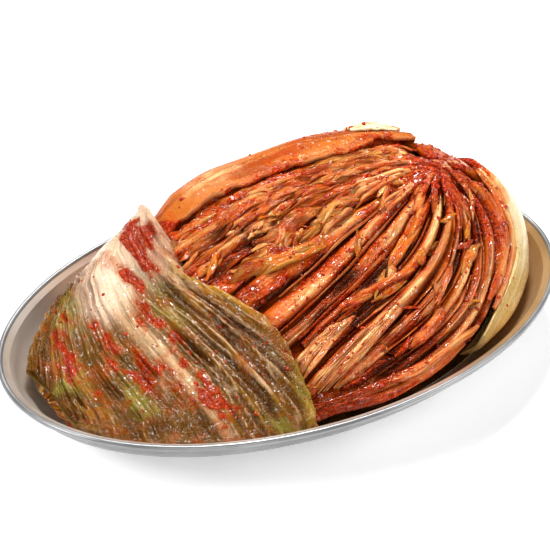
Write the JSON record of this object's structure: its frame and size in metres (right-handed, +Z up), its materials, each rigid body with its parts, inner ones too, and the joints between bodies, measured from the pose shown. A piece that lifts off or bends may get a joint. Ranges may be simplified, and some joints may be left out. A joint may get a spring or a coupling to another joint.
{
  "type": "dish of whole cabbage kimchi",
  "caption": "Cut head of whole cabbage kimchi, seasoned leaf ribs fanning out from the stem under a wrapped outer leaf, with its juice in a shallow oval steel serving dish.",
  "frame": {"origin": "middle of the dish's underside, on the plane it rests on", "axes": "+Z up, +X along the dish's length towards the stem end of the cabbage, +Y towards the high back edge of the cabbage"},
  "size_m": [0.3, 0.2, 0.0874],
  "materials": {
    "steel": "satin stainless steel with a brighter rolled rim",
    "juice": "thin brown pickling juice with a wet shine",
    "seasoned_heart": "packed leaves coated with red pepper seasoning, wet",
    "paste": "coarse red pepper paste, wet",
    "pale_stalk": "pale cream cabbage stalk, wet",
    "rib": "cream to orange cabbage rib with fine lengthwise grain, wet",
    "inner_leaf": "thin crumpled orange-yellow inner leaf, wet",
    "green_leaf": "olive green and brown outer leaf, wet",
    "orange_leaf": "smooth orange seasoned leaf, wet",
    "pale_leaf": "thick cream to yellow-green outer leaf base, wet"
  },
  "bodies": {
    "root": {"dish": "steel", "juice": "juice", "heart": "seasoned_heart", "stem": "pale_stalk", "rib_flat": "rib", "rib_pale": "rib", "rib_split": "rib", "rib_short": "rib", "rib_broad": "rib", "rib_long": "rib", "rib_curled": "rib", "rib_torn": "rib", "rib_deep": "rib", "rib_front": "rib", "rib_rim": "rib", "paste": "paste", "inner_leaf_1": "inner_leaf", "inner_leaf_2": "inner_leaf", "inner_leaf_3": "inner_leaf", "inner_leaf_4": "inner_leaf", "inner_leaf_5": "inner_leaf", "inner_leaf_6": "inner_leaf", "inner_leaf_7": "inner_leaf", "wrap_leaf": "green_leaf", "left_leaf": "green_leaf", "back_leaf": "orange_leaf", "tip_leaf": "pale_stalk", "crown_leaf": "orange_leaf", "outer_leaf": "pale_leaf"}
  },
  "joints": []
}
